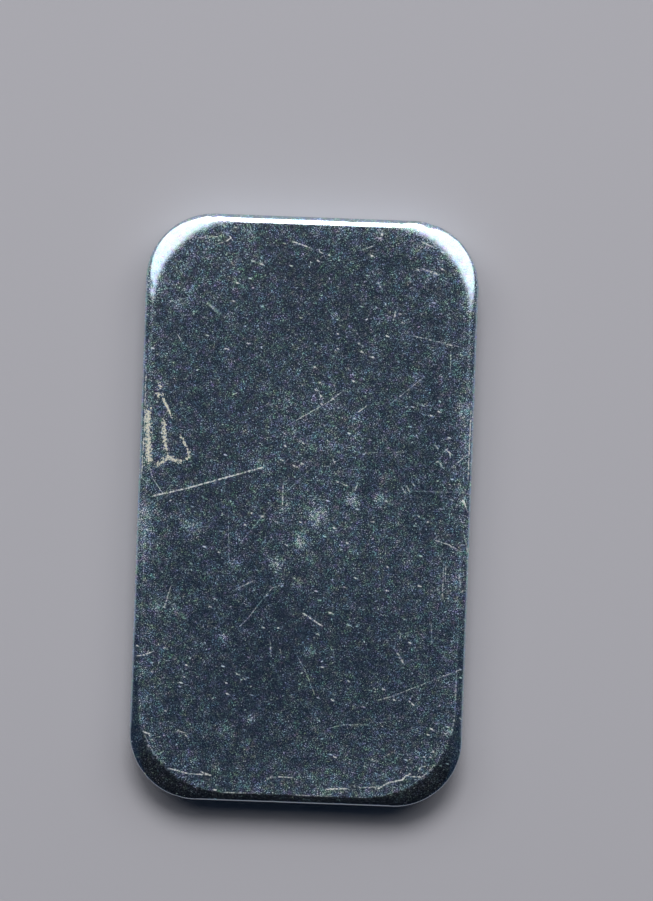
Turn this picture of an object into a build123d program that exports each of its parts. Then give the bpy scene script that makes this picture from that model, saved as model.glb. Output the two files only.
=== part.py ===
"""A struck ingot of white metal: one flat bar with rounded corners and rolled edges.

The bar lies on its back. X runs across it, Y along it and Z up through it, and the origin is under
its middle, in the plane that it rests on. All lengths are in millimetres.
"""

import os
from math import cos, radians, sin, sqrt

from build123d import *

# The bar, over its upright sides and ends
width = 51.0
length = 89.8
thickness = 6.65
corner_radius = 10.4

# The rolled edge, where the metal turns from a flat face down to the upright sides
roll_width = 1.3  # how far it reaches in over the face along the sides and ends
roll_drop = 0.8  # how far it falls below the face
roll_corner_extra = 1.9  # how much further it reaches in across each corner
roll_turn = 70  # degrees of an ellipse that it follows, up to its crease at the face: 90 has no crease
roll_sections = 13  # outlines that shape it, from the side up to the face

# The face's own corners are rounder than a plain inset of the bar's corners would be, which is what
# makes the roll wider there: rounding a square corner by r cuts r * (sqrt(2) - 1) off its diagonal.
corner_easing = roll_corner_extra / (sqrt(2) - 1)

with BuildPart() as ingot:
    # The upright band between the rolled edges of the face and of the back
    with BuildSketch(Plane.XY.offset(roll_drop)):
        RectangleRounded(width, length, corner_radius)
    extrude(amount=thickness - 2 * roll_drop)

    # The rolled edge of the face, in outlines that close in along an ellipse
    for section in range(roll_sections):
        turn = radians(roll_turn) * section / (roll_sections - 1)
        inset = roll_width * (1 - cos(turn)) / (1 - cos(radians(roll_turn)))
        height = thickness - roll_drop * (1 - sin(turn) / sin(radians(roll_turn)))
        easing = corner_easing * inset / roll_width
        with BuildSketch(Plane.XY.offset(height)):
            RectangleRounded(width - 2 * inset, length - 2 * inset, corner_radius - inset + easing)
    loft()

    # The back is struck like the face
    mirror(about=Plane.XY.offset(thickness / 2))
ingot.part.label = "ingot"

os.makedirs("parts", exist_ok=True)
export_step(ingot.part, "parts/ingot.step")
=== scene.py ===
"""The looks of a struck silver ingot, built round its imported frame. Lengths are in metres."""

import math
import random

import bmesh
import bpy
from mathutils import Matrix, Vector, kdtree, noise


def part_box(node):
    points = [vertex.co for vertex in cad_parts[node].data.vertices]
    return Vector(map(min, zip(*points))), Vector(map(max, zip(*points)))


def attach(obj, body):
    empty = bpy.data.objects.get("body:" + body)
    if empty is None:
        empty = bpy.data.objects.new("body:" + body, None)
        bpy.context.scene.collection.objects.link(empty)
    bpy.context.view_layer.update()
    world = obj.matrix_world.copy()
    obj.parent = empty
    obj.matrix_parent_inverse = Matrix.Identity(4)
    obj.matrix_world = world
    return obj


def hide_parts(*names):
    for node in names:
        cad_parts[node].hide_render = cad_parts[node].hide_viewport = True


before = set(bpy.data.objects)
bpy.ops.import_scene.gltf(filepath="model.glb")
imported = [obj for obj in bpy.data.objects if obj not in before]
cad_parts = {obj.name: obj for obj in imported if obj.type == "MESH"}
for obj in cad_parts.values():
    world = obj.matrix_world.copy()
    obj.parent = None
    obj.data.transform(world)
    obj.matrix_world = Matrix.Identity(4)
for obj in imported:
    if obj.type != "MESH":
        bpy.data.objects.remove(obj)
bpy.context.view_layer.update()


# The ingot: one bar of fine silver, struck from a blank between two plain dies. Its corners are
# round, and the metal rolls down from each flat face to the upright sides, more widely at the corners
# because it never quite filled the dies there. Handling has left small dings along the roll.
MM = 0.001
corner_radius = 10.4 * MM
roll_width = 1.3 * MM
roll_drop = 0.8 * MM
roll_corner_extra = 1.9 * MM
roll_turn = math.radians(70)
roll_outlines = 11
crease_border = 0.16 * MM  # a strip of faces round each flat, which keeps its crease narrow in the light
corner_steps = 20
mesh_spacing = 0.7 * MM
cut_snap = 0.02 * MM  # a cut this near to a vertex goes through it

ingot_low, ingot_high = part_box("ingot")
width, length, thickness = ingot_high - ingot_low
corner_easing = roll_corner_extra / (math.sqrt(2) - 1)


def add_outline(bm, inset, height):
    """Draws the bar's outline at one height: a circle whose quarters are moved out to the corners."""
    radius = corner_radius - inset + corner_easing * inset / roll_width
    half_step = Matrix.Rotation(math.radians(45) / corner_steps, 4, "Z")
    place = Matrix.Translation((0, 0, height)) @ half_step
    ring = bmesh.ops.create_circle(bm, segments=4 * corner_steps, radius=radius, matrix=place)["verts"]
    for vert in ring:
        vert.co.x += math.copysign(width / 2 - inset - radius, vert.co.x)
        vert.co.y += math.copysign(length / 2 - inset - radius, vert.co.y)
    return list(dict.fromkeys(edge for vert in ring for edge in vert.link_edges))


bm = bmesh.new()
haze_and_shade_layer = bm.verts.layers.float.new("haze_and_shade")
scratch_and_highlight_layer = bm.verts.layers.float.new("scratch_and_highlight")
scuff_layer = bm.verts.layers.float.new("scuff")
roll = []
for step in range(roll_outlines):
    turn = roll_turn * step / (roll_outlines - 1)
    inset = roll_width * (1 - math.cos(turn)) / (1 - math.cos(roll_turn))
    drop = roll_drop * (1 - math.sin(turn) / math.sin(roll_turn))
    roll.append((inset, drop))
outlines = [add_outline(bm, inset, drop) for inset, drop in reversed(roll)]
outlines += [add_outline(bm, inset, thickness - drop) for inset, drop in roll]
for lower, upper in zip(outlines, outlines[1:]):
    bmesh.ops.bridge_loops(bm, edges=lower + upper)
for flat_edge in (outlines[0], outlines[-1]):
    flat = bmesh.ops.edgeloop_fill(bm, edges=flat_edge)["faces"]
    bmesh.ops.inset_region(bm, faces=flat, thickness=crease_border, use_even_offset=True)
for axis, size in ((0, width), (1, length), (2, thickness)):
    cuts = round(size / mesh_spacing)
    for cut in range(1, cuts):
        place = Vector((0, 0, thickness / 2))
        place[axis] += size * (cut / cuts - 0.5)
        facing = Vector((0, 0, 0))
        facing[axis] = 1
        if axis < 2 or roll_drop < place.z < thickness - roll_drop:
            geometry = bm.verts[:] + bm.edges[:] + bm.faces[:]
            bmesh.ops.bisect_plane(bm, geom=geometry, dist=cut_snap, plane_co=place, plane_no=facing)
bmesh.ops.recalc_face_normals(bm, faces=bm.faces)

# Handling has hazed the flats most along their edges, and has worn the crease between them bright in
# places, most of all towards the near end. Towards the near end the rolls carry less haze, which keeps
# them darker there: painted shade.
flat_corner = corner_radius - roll_width + corner_easing
flat_straight = Vector((width, length)) / 2 - Vector((roll_width + flat_corner,) * 2)
edge_haze = 0.6
edge_haze_reach = 2.5 * MM
near_roll_painted_shade = -1.8
near_roll_shade_power = 4
crease_wear = 1.0
crease_wear_power = 3
crease_wear_spacing = 4 * MM
crease_wear_bias = 0.1
for vert in bm.verts:
    past = Vector((abs(vert.co.x), abs(vert.co.y))) - flat_straight
    outside = Vector((max(past.x, 0), max(past.y, 0))).length + min(max(past), 0) - flat_corner
    from_face = min(vert.co.z, thickness - vert.co.z)
    near_end = 0.5 - vert.co.y / length
    if outside < cut_snap:
        vert[haze_and_shade_layer] = edge_haze * math.exp(outside / edge_haze_reach)
    elif from_face < roll_drop:
        # on the rolls, haze falls away towards the near end to keep them darker there: painted shade
        vert[haze_and_shade_layer] = edge_haze + near_roll_painted_shade * near_end ** near_roll_shade_power
    if abs(outside) < cut_snap and from_face < cut_snap:
        patchy = crease_wear_bias + noise.noise(vert.co / crease_wear_spacing)
        vert[scratch_and_highlight_layer] = crease_wear * near_end ** crease_wear_power * max(patchy, 0)

# What has marked the face, and one painted highlight, read off the photograph in its pixels. Scratches and
# scuffs have the points along them, their width and how strongly they show, from 0 to 1. Flecks have their
# middles. Hazy areas and specked spots have their middles, their reach and the haze they add, or take below
# 0.
pixel = 0.153 * MM
ingot_in_photo = (303.9, 510.2)
ingot_turn = math.radians(2.1)
scratches_and_edge_highlight = (
    (((152, 496), (184, 489), (264, 467)), 1.9, 0.75),
    (((149, 466), (153, 479), (163, 494)), 1.3, 0.4),
    (((389, 405), (424, 377)), 1.3, 0.3),
    (((286, 426), (323, 405), (333, 399), (345, 389)), 1.3, 0.35),
    (((409, 335), (439, 342), (464, 348)), 1.3, 0.3),
    (((376, 701), (393, 696), (462, 669)), 1.3, 0.4),
    (((301, 612), (323, 627)), 1.8, 0.7),
    (((284, 584), (272, 588), (262, 600), (248, 618), (238, 628)), 1.2, 0.35),
    (((295, 652), (306, 673), (315, 696)), 1.2, 0.3),
    (((239, 544), (272, 505), (319, 461)), 1.2, 0.22),
    (((234, 590), (255, 580)), 1.4, 0.4),
    (((283, 482), (282, 513)), 1.4, 0.4),
    (((228, 520), (229, 562)), 1.2, 0.25),
    (((449, 470), (468, 454)), 1.3, 0.4),
    (((412, 491), (468, 493)), 1.2, 0.22),
    (((439, 535), (434, 540), (449, 545), (462, 552)), 1.3, 0.4),
    (((444, 561), (442, 600)), 1.3, 0.35),
    (((431, 621), (432, 646)), 1.3, 0.3),
    (((396, 650), (405, 666)), 1.3, 0.4),
    (((407, 700), (415, 706)), 1.8, 0.7),
    (((326, 729), (343, 725), (371, 725)), 1.3, 0.3),
    (((361, 453), (406, 452)), 1.2, 0.22),
    (((357, 413), (368, 405)), 1.5, 0.5),
    (((459, 399), (463, 409)), 1.5, 0.45),
    (((289, 240), (311, 248)), 1.4, 0.8),
    (((317, 251), (325, 254)), 1.5, 0.7),
    (((226, 232), (231, 238), (225, 242)), 1.5, 0.8),
    (((197, 238), (222, 236)), 1.3, 0.45),
    (((383, 231), (380, 242)), 3.0, 0.6),
    (((361, 250), (376, 245)), 1.5, 0.45),
    (((420, 268), (440, 275)), 3.0, 0.4),
    (((135, 656), (144, 655), (154, 651)), 1.6, 0.7),
    (((171, 585), (164, 608)), 1.6, 0.4),
    (((167, 768), (189, 774), (212, 775)), 1.6, 0.6),
    (((264, 782), (269, 778), (280, 777), (294, 778)), 1.5, 0.6),
    (((376, 790), (388, 783), (402, 780), (406, 776), (412, 773)), 1.8, 0.8),
    (((418, 772), (420, 768), (426, 766)), 1.8, 0.8),
    (((410, 777), (428, 777)), 1.5, 0.7),
    (((429, 728), (435, 731)), 2.2, 0.9),
    (((401, 486), (406, 495)), 1.6, 0.6),
    (((406, 485), (410, 493)), 1.6, 0.5),
    (((411, 481), (415, 487)), 1.6, 0.5),
    (((417, 478), (420, 484)), 1.6, 0.4),
    (((422, 473), (426, 479)), 1.6, 0.4),
    (((433, 443), (439, 450)), 1.8, 0.6),
    (((442, 453), (446, 450), (450, 453), (450, 459)), 1.8, 0.6),
    (((434, 464), (438, 461), (441, 465), (441, 470)), 1.8, 0.5),
    (((460, 503), (463, 500), (467, 510)), 1.6, 0.6),
    (((449, 545), (456, 550)), 1.6, 0.6),
    (((446, 563), (445, 583)), 1.3, 0.4),
    (((451, 352), (450, 374)), 1.3, 0.3),
    (((356, 342), (364, 346)), 2.5, 0.45),
    (((420, 241), (433, 247)), 1.8, 0.5),
    (((376, 281), (383, 290)), 3.0, 0.35),
    (((396, 311), (393, 321)), 2.0, 0.6),
    (((446, 344), (453, 346)), 1.6, 0.6),
    (((231, 228), (238, 227)), 1.4, 0.6),
    (((212, 246), (223, 242)), 1.4, 0.5),
    (((192, 315), (199, 309)), 1.4, 0.5),
    (((206, 302), (222, 315)), 4.0, 0.3),
    (((177, 333), (182, 343)), 1.4, 0.5),
    (((332, 457), (334, 462), (337, 461)), 1.6, 0.6),
    (((358, 484), (355, 489), (352, 490)), 1.8, 0.6),
    (((394, 648), (404, 666)), 1.4, 0.4),
    (((401, 634), (399, 641)), 1.8, 0.5),
    (((270, 641), (271, 657)), 2.0, 0.35),
    (((280, 647), (281, 657)), 1.6, 0.3),
    (((176, 733), (178, 731), (184, 733), (188, 739)), 1.4, 0.6),
    (((141, 731), (149, 734), (150, 738)), 1.8, 0.8),
    (((199, 771), (211, 776)), 1.6, 0.7),
    (((324, 790), (331, 789), (349, 789)), 1.8, 0.9),
    (((357, 788), (382, 787)), 1.5, 0.5),
    (((471, 410), (470, 433), (469, 455), (468, 481)), 1.6, 0.6),
    (((465, 538), (467, 548), (468, 556)), 1.6, 0.5),
    # Not a scratch: a painted highlight, the bright line down the face's left edge
    (((146, 365), (145, 395), (144, 430), (142, 462), (141, 480)), 1.4, 0.5),
)
flecks = (
    (253, 261), (261, 264), (248, 343), (226, 349), (233, 301), (237, 283), (418, 270), (442, 269),
    (372, 256), (329, 255), (318, 261), (387, 336), (403, 323), (338, 349), (338, 334), (362, 352),
    (372, 357), (314, 367), (320, 383), (353, 381), (316, 390), (321, 396), (333, 399), (322, 404),
    (400, 314), (439, 412), (431, 416), (328, 441), (337, 482), (345, 485), (418, 516), (427, 522),
    (334, 528), (373, 522), (387, 567), (387, 591), (355, 578), (419, 586), (285, 446), (303, 443),
    (281, 460), (302, 464), (294, 466), (300, 522), (347, 543), (268, 503), (251, 513), (262, 516),
    (276, 522), (286, 545), (245, 525), (218, 552), (294, 578), (164, 607), (210, 607), (263, 628),
    (278, 628), (137, 646), (164, 648), (237, 674), (245, 679), (226, 683), (227, 694), (186, 665),
    (152, 672), (184, 677), (165, 711), (330, 613), (317, 634), (405, 620), (322, 667), (348, 681),
    (332, 700), (383, 689), (394, 700), (428, 735), (364, 766), (334, 757), (373, 760), (433, 752),
    (424, 757), (430, 757), (461, 719), (153, 758), (215, 790),
)
fleck_across = 1.8
fleck_down = 0.6
fleck_wide = 2.0
fleck_strength = 1.1
scuffs = (
    (((148, 408), (148, 440), (149, 464)), 8.8, 1.0),
    (((164, 419), (164, 436), (166, 452)), 6.2, 1.0),
    (((155, 391), (162, 397)), 7.8, 1.0),
    (((162, 397), (166, 405), (170, 412), (171, 419)), 4.4, 1.0),
    (((157, 382), (162, 389)), 5.2, 0.9),
    (((155, 466), (163, 461), (168, 457), (174, 460), (183, 461)), 7.1, 0.9),
    (((179, 434), (184, 442), (188, 450), (189, 456), (185, 461)), 4.2, 0.9),
)
hazes = (
    (300, 495, 130, 0.3), (300, 640, 120, -0.25), (450, 500, 60, -0.2), (450, 640, 60, -0.2),
    (141, 515, 24, 0.8), (141, 545, 22, 0.6), (152, 284, 16, 1.0), (471, 306, 16, 0.8), (470, 415, 16, 0.6),
    (470, 450, 18, 0.6), (467, 590, 26, 0.2), (318, 516, 26, 0.3), (188, 526, 24, 0.3), (302, 540, 24, 0.2),
    (334, 317, 8, 1.2), (190, 290, 8, 0.9), (177, 303, 10, 0.9), (352, 499, 9, 1.4), (381, 498, 9, 1.2),
    (318, 516, 13, 1.0), (285, 506, 8, 1.0), (301, 538, 10, 1.1), (297, 547, 9, 1.0), (276, 564, 10, 1.3),
    (188, 526, 14, 0.6), (233, 562, 9, 0.9), (224, 636, 8, 1.3), (249, 718, 8, 1.4), (226, 729, 13, 0.8),
    (310, 653, 8, 1.0), (264, 466, 9, 1.0), (297, 583, 8, 1.0), (156, 609, 8, 1.2), (174, 609, 7, 1.2),
)
scratch_and_highlight_strokes = list(scratches_and_edge_highlight)
for across, down in flecks:
    left = (across - fleck_across, down - fleck_down)
    right = (across + fleck_across, down + fleck_down)
    scratch_and_highlight_strokes.append(((left, (across, down), right), fleck_wide, fleck_strength))
stroke_spread = 0.58  # half of a stroke's mesh, as a share of its width, because it fades to its sides
stroke_fade = 0.4 * MM
face_rise = 0.8  # strokes reach down the roll as far as its normals still turn up by this much


def on_bar(across, down):
    """Turns a place in the photograph into the same place on the bar."""
    from_middle = Vector((across - ingot_in_photo[0], ingot_in_photo[1] - down)) * pixel
    return (Matrix.Rotation(ingot_turn, 2) @ from_middle).to_3d()


for across, down, reach, amount in hazes:
    middle = on_bar(across, down)
    for vert in bm.verts:
        share = 1 - ((vert.co - middle).xy.length / (reach * pixel)) ** 2
        if share > 0 and vert.co.z > thickness / 2:
            vert[haze_and_shade_layer] += amount * share


def with_middles(faces):
    """Lists faces with the places of their middles, so that those near a stroke are found quickly."""
    return [(face, *face.calc_center_median().xy) for face in faces]


face_side = with_middles(face for face in bm.faces if face.normal.z > face_rise)
for strokes, layer in ((scratch_and_highlight_strokes, scratch_and_highlight_layer), (scuffs, scuff_layer)):
    for points, pixels_wide, strength in strokes:
        spread = pixels_wide * pixel * stroke_spread
        route = [on_bar(across, down) for across, down in points]
        for start, end in zip(route, route[1:]):
            run = (end - start).length
            along = (end - start) / run
            aside = Vector((-along.y, along.x, 0))
            middle_x, middle_y = (start + end).xy / 2
            reach = run / 2 + spread + 2 * mesh_spacing
            near = []
            for face, x, y in face_side:
                if abs(x - middle_x) < reach and abs(y - middle_y) < reach:
                    offset = face.calc_center_median() - start
                    beyond = abs(offset.dot(along) - run / 2) - run / 2
                    if max(beyond, abs(offset.dot(aside)) - spread) < mesh_spacing:
                        near.append(face)
            cuts = [(start + aside * shift, aside) for shift in (-spread, 0, spread)]
            for place, facing in cuts + [(start, along), (end, along)]:
                edges = list(dict.fromkeys(edge for face in near for edge in face.edges))
                verts = list(dict.fromkeys(vert for face in near for vert in face.verts))
                cut = bmesh.ops.bisect_plane(
                    bm, geom=verts + edges + near, dist=cut_snap, plane_co=place, plane_no=facing,
                )
                before = set(near)
                near = [item for item in cut["geom"] if isinstance(item, bmesh.types.BMFace)]
                face_side += with_middles(face for face in near if face not in before)
            for vert in dict.fromkeys(vert for face in near for vert in face.verts):
                offset = vert.co - start
                share = 1 - abs(offset.dot(aside)) / spread
                if share > 0 and -cut_snap < offset.dot(along) < run + cut_snap:
                    from_ends = min((vert.co - tip).xy.length for tip in (route[0], route[-1]))
                    fade = math.sqrt(min(1, from_ends / stroke_fade))
                    vert[layer] = max(vert[layer], strength * fade * share)

# The flats are a little wavy, as a struck face is, but never stand above the dies' own plane
wave_height = 0.012 * MM
wave_spacing = 11 * MM
for vert in bm.verts:
    sunk_share = (1 - noise.noise(vert.co / wave_spacing)) / 2
    towards_middle = -1 if vert.co.z > thickness / 2 else 1
    vert.co.z += towards_middle * wave_height * sunk_share

# Small dings along the rolled edges
dings = random.Random(4)
ding_count = 60
ding_reach = (0.5 * MM, 1.3 * MM)
ding_depth = (0.02 * MM, 0.07 * MM)
rim_steepest = 0.15  # how much the normals turn up where the rolls start and where they end
rim_flattest = 0.97
places = kdtree.KDTree(len(bm.verts))
for index, vert in enumerate(bm.verts):
    places.insert(vert.co, index)
places.balance()
bm.verts.ensure_lookup_table()
bm.normal_update()
rim = [vert for vert in bm.verts if rim_steepest < abs(vert.normal.z) < rim_flattest]
for ding in range(ding_count):
    middle = dings.choice(rim)
    reach = dings.uniform(*ding_reach)
    depth = dings.uniform(*ding_depth)
    push = middle.normal.copy()
    for place, index, distance in places.find_range(middle.co, reach):
        bm.verts[index].co -= push * depth * (1 - (distance / reach) ** 2) ** 2

for face in bm.faces:
    face.smooth = True
mesh = bpy.data.meshes.new("struck_ingot")
bm.to_mesh(mesh)
bm.free()
ingot = bpy.data.objects.new("struck_ingot", mesh)
bpy.context.scene.collection.objects.link(ingot)
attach(ingot, "root")
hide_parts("ingot")


def linear(code):
    """Turns an sRGB hex colour into the linear values that shaders take."""
    parts = [int(code[place:place + 2], 16) / 255 for place in (1, 3, 5)]
    return [part / 12.92 if part <= 0.04045 else ((part + 0.055) / 1.055) ** 2.4 for part in parts] + [1]


def add_node(tree, kind, inputs=None, **settings):
    """Adds one node, sets its properties, and links or sets its inputs."""
    made = tree.nodes.new(kind)
    for name, value in settings.items():
        setattr(made, name, value)
    for name, value in (inputs or {}).items():
        if isinstance(value, bpy.types.NodeSocket):
            tree.links.new(value, made.inputs[name])
        else:
            made.inputs[name].default_value = value
    return made.outputs


# Struck fine silver: a mirror from the die, now dulled by handling. Where the mirror is whole it shows
# what is above it. Where fine scuffs, flecks and scratches have broken it up, it scatters light, so
# they show pale against the dark that the face mirrors.
mirror_colour = linear("#b9c0c7")
haze_colour = linear("#b1d5e8")
frost_colour = linear("#d8d9d6")
scuff_colour = linear("#d1cdb4")
mirror_roughness = 0.12
frost_roughness = 0.55
silver = bpy.data.materials.new("struck_fine_silver")
silver.use_nodes = True
tree = silver.node_tree
place = add_node(tree, "ShaderNodeTexCoord")["Object"]

# Fine haze over the whole mirror: how much it scatters is a power of e, added up from layers of noise
# of these sizes in mm, each with its own detail and sway, and from the mesh. The finest layer is drawn
# as coarse as it needs to be to show.
haze_level = -3.26
haze_layers = ((0.15, 0, 7.2), (2.2, 2, 2.2), (14, 2, 1.2))
# The mesh's haze also holds painted shade: it is lower on the rolls towards the near end, to keep them
# darker.
haze_and_shade = add_node(tree, "ShaderNodeAttribute", attribute_name="haze_and_shade")["Fac"]
for size, detail, sway in haze_layers:
    layer = add_node(
        tree, "ShaderNodeTexNoise", {"Vector": place, "Scale": 1 / (size * MM), "Detail": detail},
    )["Fac"]
    haze_and_shade = add_node(tree, "ShaderNodeMath", {0: layer, 1: sway, 2: haze_and_shade}, operation="MULTIPLY_ADD")["Value"]
evened = haze_level - sum(sway / 2 for size, detail, sway in haze_layers)  # noise is 0.5 on average
haze_and_shade = add_node(tree, "ShaderNodeMath", {0: haze_and_shade, 1: evened}, operation="ADD")["Value"]
wear_and_shade = add_node(tree, "ShaderNodeMath", {0: haze_and_shade}, operation="EXPONENT")["Value"]

# Short bright nicks: the way they lie in degrees, length and spacing in mm, rarity, strength
nick_edge = 0.26  # how far from its middle a nick ends, and where it is brightest, in spacings
nick_core = 0.08
nicks = ((-14, 1.6, 0.6, 30, 0.8), (24, 1.1, 0.5, 20, 0.6), (-62, 0.9, 0.5, 20, 0.6))
for turn, long, spacing, rarity, strength in nicks:
    stretched = add_node(
        tree, "ShaderNodeMapping",
        {
            "Vector": place,
            "Rotation": (0, 0, math.radians(turn)),
            "Scale": (long * MM, spacing * MM, spacing * MM),
        },
        vector_type="TEXTURE",
    )["Vector"]
    cells = add_node(tree, "ShaderNodeTexVoronoi", {"Vector": stretched, "Scale": 1})
    chance = add_node(tree, "ShaderNodeSeparateColor", {"Color": cells["Color"]})["Green"]
    bright = add_node(tree, "ShaderNodeMath", {0: chance, 1: rarity}, operation="POWER")["Value"]
    nick = add_node(
        tree, "ShaderNodeMapRange",
        {
            "Value": cells["Distance"],
            "From Min": nick_edge,
            "From Max": nick_core,
            "To Max": strength,
        },
    )["Result"]
    wear_and_shade = add_node(
        tree, "ShaderNodeMath", {0: bright, 1: nick, 2: wear_and_shade}, operation="MULTIPLY_ADD",
    )["Value"]

# Each speck of haze has a slight colour of its own, as fine scratches split the light
tint_size = 0.9
tint = add_node(
    tree, "ShaderNodeTexNoise", {"Vector": place, "Scale": 1 / (tint_size * MM), "Detail": 3},
)["Color"]
twice_haze = [2 * part for part in haze_colour[:3]]  # again because noise is 0.5 on average
tinted = add_node(
    tree, "ShaderNodeVectorMath", {0: tint, 1: twice_haze}, operation="MULTIPLY",
)["Vector"]

# The scratches, the painted highlight down the left edge and the scuffs come from the mesh, and are broken
# up here by the metal's own unevenness
break_size = 0.35
scratch_range = {"From Min": 0.38, "From Max": 0.6, "To Min": 0.1, "To Max": 1.2}
scuff_range = {"From Min": 0.3, "From Max": 0.7, "To Min": -0.9, "To Max": 0.1}
scuff_sharpness = 2.5
mottle_size = 0.22
mottle_range = {"From Min": 0.38, "From Max": 0.62, "To Min": 0.2, "To Max": 1}
broken = add_node(
    tree, "ShaderNodeTexNoise", {"Vector": place, "Scale": 1 / (break_size * MM), "Detail": 2},
)["Fac"]
breaks = add_node(tree, "ShaderNodeMapRange", {"Value": broken, **scratch_range})["Result"]
scuff_breaks = add_node(tree, "ShaderNodeMapRange", {"Value": broken, **scuff_range})["Result"]
scratched_and_highlit = add_node(tree, "ShaderNodeAttribute", attribute_name="scratch_and_highlight")["Fac"]
scuffed = add_node(tree, "ShaderNodeAttribute", attribute_name="scuff")["Fac"]
scuffed = add_node(tree, "ShaderNodeMath", {0: scuffed, 1: scuff_breaks}, operation="ADD")["Value"]
scuffed = add_node(
    tree, "ShaderNodeMath", {0: scuffed, 1: scuff_sharpness}, operation="MULTIPLY", use_clamp=True,
)["Value"]
mottle = add_node(
    tree, "ShaderNodeTexNoise", {"Vector": place, "Scale": 1 / (mottle_size * MM), "Detail": 1},
)["Fac"]
mottle = add_node(tree, "ShaderNodeMapRange", {"Value": mottle, **mottle_range})["Result"]
scuffed = add_node(tree, "ShaderNodeMath", {0: scuffed, 1: mottle}, operation="MULTIPLY")["Value"]
marks_and_highlight = add_node(
    tree, "ShaderNodeMath", {0: scratched_and_highlit, 1: breaks, 2: scuffed}, operation="MULTIPLY_ADD",
)["Value"]
frost = add_node(
    tree, "ShaderNodeMath", {0: wear_and_shade, 1: marks_and_highlight}, operation="ADD", use_clamp=True,
)["Value"]

# The wider marks scatter white light, while each speck of haze keeps a colour of its own
mark_whiteness = 1.5
whitened = add_node(
    tree, "ShaderNodeMath", {0: marks_and_highlight, 1: mark_whiteness, 2: frost},
    operation="MULTIPLY_ADD", use_clamp=True,
)["Value"]
plain = add_node(
    tree, "ShaderNodeMix", {"Factor": whitened, "A": tinted, "B": frost_colour}, data_type="RGBA",
)["Result"]
frosted = add_node(
    tree, "ShaderNodeMix", {"Factor": scuffed, "A": plain, "B": scuff_colour}, data_type="RGBA",
)["Result"]
full_tint = 0.2  # how much frost already shows wholly in its own colour
frost_shown = add_node(tree, "ShaderNodeMapRange", {"Value": frost, "From Max": full_tint})["Result"]
colour = add_node(
    tree, "ShaderNodeMix", {"Factor": frost_shown, "A": mirror_colour, "B": frosted}, data_type="RGBA",
)["Result"]
metal = add_node(tree, "ShaderNodeMath", {0: 1, 1: frost}, operation="SUBTRACT")["Value"]
rough = add_node(
    tree, "ShaderNodeMapRange", {"Value": frost, "To Min": mirror_roughness, "To Max": frost_roughness},
)["Result"]
shader = tree.nodes["Principled BSDF"]
tree.links.new(colour, shader.inputs["Base Color"])
tree.links.new(metal, shader.inputs["Metallic"])
tree.links.new(rough, shader.inputs["Roughness"])
ingot.data.materials.append(silver)


# The floor: a plain surface, painted a matt pale grey, that the ingot lies on. It sets the scene and is no
# piece of the ingot.
floor_reach = 20
floor_colour = linear("#acaaaf")
floor_roughness = 0.9
bm = bmesh.new()
bmesh.ops.create_grid(bm, x_segments=1, y_segments=1, size=floor_reach)
mesh = bpy.data.meshes.new("floor")
bm.to_mesh(mesh)
bm.free()
floor = bpy.data.objects.new("floor", mesh)
bpy.context.scene.collection.objects.link(floor)
paint = bpy.data.materials.new("matt_floor_paint")
paint.use_nodes = True
shader = paint.node_tree.nodes["Principled BSDF"]
shader.inputs["Base Color"].default_value = floor_colour
shader.inputs["Roughness"].default_value = floor_roughness
floor.data.materials.append(paint)


# The studio: a broad far lamp beyond the top end of the ingot, a softbox beyond each of its upper corners,
# pale walls behind them, and a dark ceiling that is darkest towards the other end, for the mirror to show.
ingot_middle = Vector((0, 0, thickness))
far_lamp_angle = math.radians(26)
far_lamp_strength = 1.7
softbox_distance = 0.6
softbox_wide = 0.36
softbox_tall = 0.5
softbox_radiance = 2.1

# Each lamp's turn about the upright and its lean away from it, in degrees
lamps = (
    ("far_lamp", "SUN", 0, 37),
    ("left_softbox", "AREA", 45, 39),
    ("right_softbox", "AREA", -45, 39),
)
for name, kind, turn, from_zenith in lamps:
    light = bpy.data.lights.new(name, kind)
    lamp = bpy.data.objects.new(name, light)
    tilt = Matrix.Rotation(-math.radians(from_zenith), 4, "X")
    facing = Matrix.Rotation(math.radians(turn), 4, "Z") @ tilt
    lamp.location = ingot_middle + facing @ Vector((0, 0, softbox_distance))
    lamp.rotation_euler = facing.to_euler()
    if kind == "SUN":
        light.angle = far_lamp_angle
        light.energy = far_lamp_strength
    else:
        light.shape = "ELLIPSE"
        light.size = softbox_wide
        light.size_y = softbox_tall
        light.energy = softbox_radiance * math.pi * (math.pi / 4 * softbox_wide * softbox_tall)
    bpy.context.scene.collection.objects.link(lamp)

world = bpy.data.worlds.new("studio")
world.use_nodes = True
bpy.context.scene.world = world
tree = world.node_tree
direction = add_node(tree, "ShaderNodeTexCoord")["Generated"]
ceiling_tilt = math.radians(42)
ceiling = (0, -math.sin(ceiling_tilt), math.cos(ceiling_tilt))
leaning = add_node(
    tree, "ShaderNodeVectorMath", {0: direction, 1: ceiling}, operation="DOT_PRODUCT",
)["Value"]
overhead = add_node(tree, "ShaderNodeValToRGB", {"Fac": leaning})["Color"]
wall_tone = linear("#b4b8be")
ceiling_tones = ((0.25, "#4a5866"), (0.45, "#14273b"), (0.785, "#14273b"), (0.83, "#070d17"))
tones = overhead.node.color_ramp.elements
tones.remove(tones[1])
tones[0].color = wall_tone
for position, tone in ceiling_tones:
    tones.new(position).color = linear(tone)
tree.links.new(overhead, tree.nodes["Background"].inputs["Color"])


# The camera looks straight down, with the ingot turned a little in the frame.
frame_height = 137.9 * MM
frame_middle = Vector((3.1, 9.25, 0)) * MM
lens = 250
sensor = 36
camera = bpy.data.objects.new("camera", bpy.data.cameras.new("camera"))
camera.data.lens = lens
camera.data.sensor_width = sensor
camera.location = frame_middle + Vector((0, 0, thickness + frame_height * lens / sensor))
camera.rotation_euler = (0, 0, ingot_turn)
bpy.context.scene.collection.objects.link(camera)
bpy.context.scene.camera = camera
bpy.context.scene.view_settings.view_transform = "Standard"
